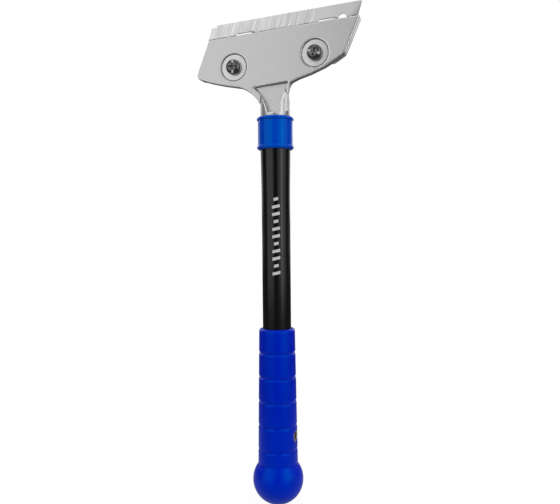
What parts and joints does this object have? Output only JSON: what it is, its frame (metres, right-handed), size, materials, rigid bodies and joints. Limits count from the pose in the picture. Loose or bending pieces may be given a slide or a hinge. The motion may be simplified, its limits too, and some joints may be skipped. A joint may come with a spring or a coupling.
{
  "type": "floor scraper",
  "caption": "Long-handled floor scraper: a slanted steel blade clamped by screws in a die-cast head, on a tube handle with a ball-ended grip and a hanging hole.",
  "frame": {"origin": "centre of the hanging hole, on the handle's axis", "axes": "+Z along the handle, from the hanging hole to the blade; +X along the blade, towards its end with the round hole, and along the hanging hole; the screw heads face -Y"},
  "size_m": [0.1094, 0.0332, 0.3213],
  "materials": {
    "cast_metal": "satin, lightly blasted die casting",
    "blade_steel": "ground, with fine slanted marks",
    "dark_steel": "blackened steel",
    "plated_steel": "zinc plated",
    "collar_plastic": "gloss blue moulding",
    "black_coating": "satin black coating",
    "grip_plastic": "soft semi-matte blue moulding",
    "eyelet_nickel": "dull nickel"
  },
  "bodies": {
    "handle": {"head_casting": "cast_metal", "cross_pin": "plated_steel", "collar": "collar_plastic", "tube": "black_coating", "grip": "grip_plastic", "hang_eyelet": "eyelet_nickel", "left_spring_washer": "plated_steel", "right_spring_washer": "plated_steel", "left_flat_washer": "plated_steel", "right_flat_washer": "plated_steel"},
    "clamp": {"clamp_plate": "cast_metal", "left_nut": "plated_steel", "right_nut": "plated_steel"},
    "left_screw": {"left_screw": "dark_steel"},
    "right_screw": {"right_screw": "dark_steel"},
    "blade": {"blade": "blade_steel"}
  },
  "joints": [
    {"name": "left_screw_turn", "type": "hinge", "parent": "handle", "child": "left_screw", "pos_m": [-0.0266, 0, 0.24057], "axis": [0, -1, 0], "range_deg": [0, 720]},
    {"name": "right_screw_turn", "type": "hinge", "parent": "handle", "child": "right_screw", "pos_m": [0.02762, 0, 0.24519], "axis": [0, -1, 0], "range_deg": [0, 720]},
    {"name": "clamp_back_off", "type": "slide", "parent": "handle", "child": "clamp", "axis": [0, 1, 0], "range_m": [0, 0.0016]},
    {"name": "blade_slide_out", "type": "slide", "parent": "handle", "child": "blade", "axis": [-0.061, 0, 0.9981], "range_m": [0, 0.025]}
  ],
  "couplings": [
    {"joint": "left_screw_turn", "follows": "clamp_back_off", "rad_per_m": 7853.9},
    {"joint": "right_screw_turn", "follows": "clamp_back_off", "rad_per_m": 7853.9}
  ]
}
